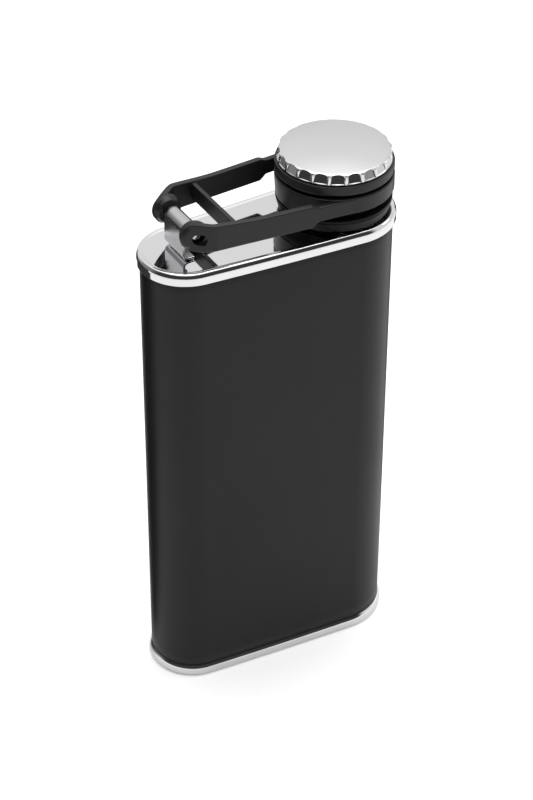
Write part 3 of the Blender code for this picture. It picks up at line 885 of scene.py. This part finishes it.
def flutedCrown():
    # a lathed dome and skirt, pressed in to flat, leaning flute floors: the radius becomes the smaller
    # of its own and floor / cos(angle from the flute's middle), softened by (d + sqrt(d^2 + k^2)) / 2
    v = crownValues
    low, top = crownLow[2] - plateZ, crownHigh[2] - plateZ
    brow = top - v["sag"]
    outside, inside = crownProfile(low, brow, top)
    profile = np.vstack([outside, inside])
    grid = turnedGrid(profile, v["flutes"] * v["columnsPerFlute"])
    pitch = 2 * math.pi / v["flutes"]
    turn = np.linspace(0, 2 * math.pi, grid.shape[1], endpoint=False)
    fromMiddle = np.mod(turn + math.radians(v["turned"]), pitch) - pitch / 2
    half = pitch * v["radius"] / 2 - v["rib"] / 2
    sideNear, sideFar = v["sideSoft"]
    across = 1 - smoothStep(np.abs(fromMiddle) * v["radius"], half - sideNear, half + sideFar)
    upward = smoothStep(profile[:, 1:2], low + v["lip"] - v["footSoft"], low + v["lip"] + v["footSoft"])
    upward[len(outside):] = 0
    arch = brow + v["archHigh"] - v["archDrop"] * np.abs(fromMiddle * v["radius"] / half) ** 3
    upward = upward * (1 - smoothStep(profile[:, 1:2] - arch, -v["archSoft"][0], v["archSoft"][1]))
    rise = (profile[:, 1:2] - low - v["lip"]) / (brow - low - v["lip"])
    floor = v["floorLow"] + (v["floorHigh"] - v["floorLow"]) * rise
    depth = profile[:, 0:1] - floor / np.cos(fromMiddle)
    depth = (depth + np.sqrt(depth**2 + v["floorSoft"] ** 2)) / 2
    grid = pushOut(grid, -depth * across * upward)
    mesh = meshOf("flutedCrown", grid)
    addPiece("flutedCrown", mesh, crownLook, "cap", "cap_crown", 70)


coatedBody()
topPan()
basePan()
threadedNeck()
rolledBracket()
hingeRod()
swingArm()
capMoulding()
capSealDisc()
capSkirtCollar()
flutedCrown()


studioValues = {
    "horizon": 0.7,
    "mid": 0.8,
    "high": 1.15,
    "overhead": 1.6,
    "viewerSide": 0.04,
    "leftSide": 0.22,
    "rightSide": 0.72,
    "seen": 1.0,
    "floorGrey": 0.9,
    "floorGlow": 0.34,  # only as seen by the camera
    "mirroredShadeTone": 0.03,  # painted shade: what shiny surfaces mirror of the floor in the two wedges
    "wedgeStart": 0.037,  # metres to the left and right of the flask's middle
    "wedgeBack": (0.42, 0.91),
    "wedgeSide": (0.98, -0.17),
    "floorHalf": 2.5,
    "softboxPower": 3.2,
    "softboxSize": 0.7,
    "softboxPlace": (0.15, 0.1, 0.95),
    "fillPower": 0.3,
    "fillSize": 0.3,
    "fillPlace": (0.75, -0.15, 0.45),
    "lightAim": (0, 0, 0.08),
}


def studioFloor():
    # a pale table. Mirrored rays find painted shade on it in a wedge behind each end of the flask,
    # which paints dark reflections into the polished metal for contrast.
    v = studioValues
    half = v["floorHalf"]
    corners = [(-half, -half, 0), (half, -half, 0), (half, half, 0), (-half, half, 0)]
    mesh = bpy.data.meshes.new("studioFloor")
    mesh.from_pydata(corners, [], [(0, 1, 2, 3)])
    look, shader, wire = newLook("paleFloor", {"Roughness": 0.9, "Specular IOR Level": 0.1})
    grey = v["floorGrey"]
    x, y, _ = wire.node("ShaderNodeTexCoord", out=3).axes()
    left, right = x + v["wedgeStart"], x - v["wedgeStart"]
    backX, backY = v["wedgeBack"]
    sideX, sideY = v["wedgeSide"]
    # painted shade in two wedges on the floor, seen only by mirrored rays, for painted dark reflections in
    # the metal
    leftMirroredShade = (left * -1.0).between(0, 0.004) * (left * backX + y * backY).between(0, 0.015)
    rightMirroredShade = (right * -backX + y * backY).between(0, 0.004) * (right * sideX + y * sideY).between(0, 0.01)
    mirroredShade = (leftMirroredShade + rightMirroredShade) * wire.node("ShaderNodeLightPath", out=3)
    dark = v["mirroredShadeTone"]
    shade = wire.mixed(mirroredShade, (grey, grey, grey), (dark, dark, dark))
    glow = wire.mixed(wire.node("ShaderNodeLightPath"), (0, 0, 0), (1, 1, 1))
    shader.inputs["Emission Strength"].default_value = v["floorGlow"]
    feed(wire, shader, Base_Color=shade, Emission_Color=glow)
    mesh.materials.append(look)
    addObject("studioFloor", mesh)


def areaLight(name, place, power, size):
    light = bpy.data.lights.new(name, "AREA")
    light.energy = power
    light.shape = "DISK"
    light.size = size
    lamp = addObject(name, light)
    lamp.location = place
    towards = Vector(studioValues["lightAim"]) - Vector(place)
    lamp.rotation_euler = towards.to_track_quat("-Z", "Y").to_euler()


def studioSky():
    # what the flask mirrors: pale behind, bright overhead, dark low on the viewer's side and left
    v = studioValues
    world = bpy.data.worlds.new("studioSky")
    bpy.context.scene.world = world
    world.use_nodes = True
    wire = Wire(world.node_tree)
    x, y, up = wire.node("ShaderNodeTexCoord").axes()
    viewerward = x * -0.5 + y * -0.87
    viewerSide = viewerward.between(0.05, 0.45) * (1 - up.between(0.62, 0.74))
    leftSide = (x * -1.0).between(0.3, 0.7) * (1 - up.between(0.6, 0.8))
    rightSide = x.between(0.55, 0.8)
    light = v["horizon"] + up.between(0.2, 0.6) * (v["mid"] - v["horizon"])
    light = light + up.between(0.6, 0.85) * (v["high"] - v["mid"])
    light = light + up.between(0.85, 0.95) * (v["overhead"] - v["high"])
    light = light + (v["rightSide"] - light) * rightSide
    light = light + (v["leftSide"] - light) * leftSide
    light = light + (v["viewerSide"] - light) * viewerSide * (1 - rightSide)
    seen = wire.node("ShaderNodeLightPath")
    light = light + (v["seen"] - light) * seen
    background = world.node_tree.nodes["Background"]
    wire.tree.links.new(light.socket, background.inputs["Strength"])
    background.inputs["Color"].default_value = (1, 1, 1, 1)


cameraValues = {
    "place": (-0.2574, -0.4516, 0.4621),
    "aim": (0.3999, 0.7016, -0.5898),
    "roll": 0.0052,  # radians
    "lens": 102.7,  # millimetres, on a sensor 36 wide
}


def studioCamera():
    v = cameraValues
    lens = bpy.data.cameras.new("camera")
    lens.lens = v["lens"]
    lens.sensor_width = 36
    lens.clip_start = 0.01
    camera = addObject("camera", lens)
    camera.location = v["place"]
    turn = Vector(v["aim"]).to_track_quat("-Z", "Y").to_matrix().to_4x4()
    camera.rotation_euler = (turn @ Matrix.Rotation(v["roll"], 4, "Z")).to_euler()
    bpy.context.scene.camera = camera


studioFloor()
studioSky()
areaLight("softbox", studioValues["softboxPlace"], studioValues["softboxPower"], studioValues["softboxSize"])
areaLight("sideFill", studioValues["fillPlace"], studioValues["fillPower"], studioValues["fillSize"])
studioCamera()
bpy.context.scene.view_settings.view_transform = "Standard"
print("made studio")
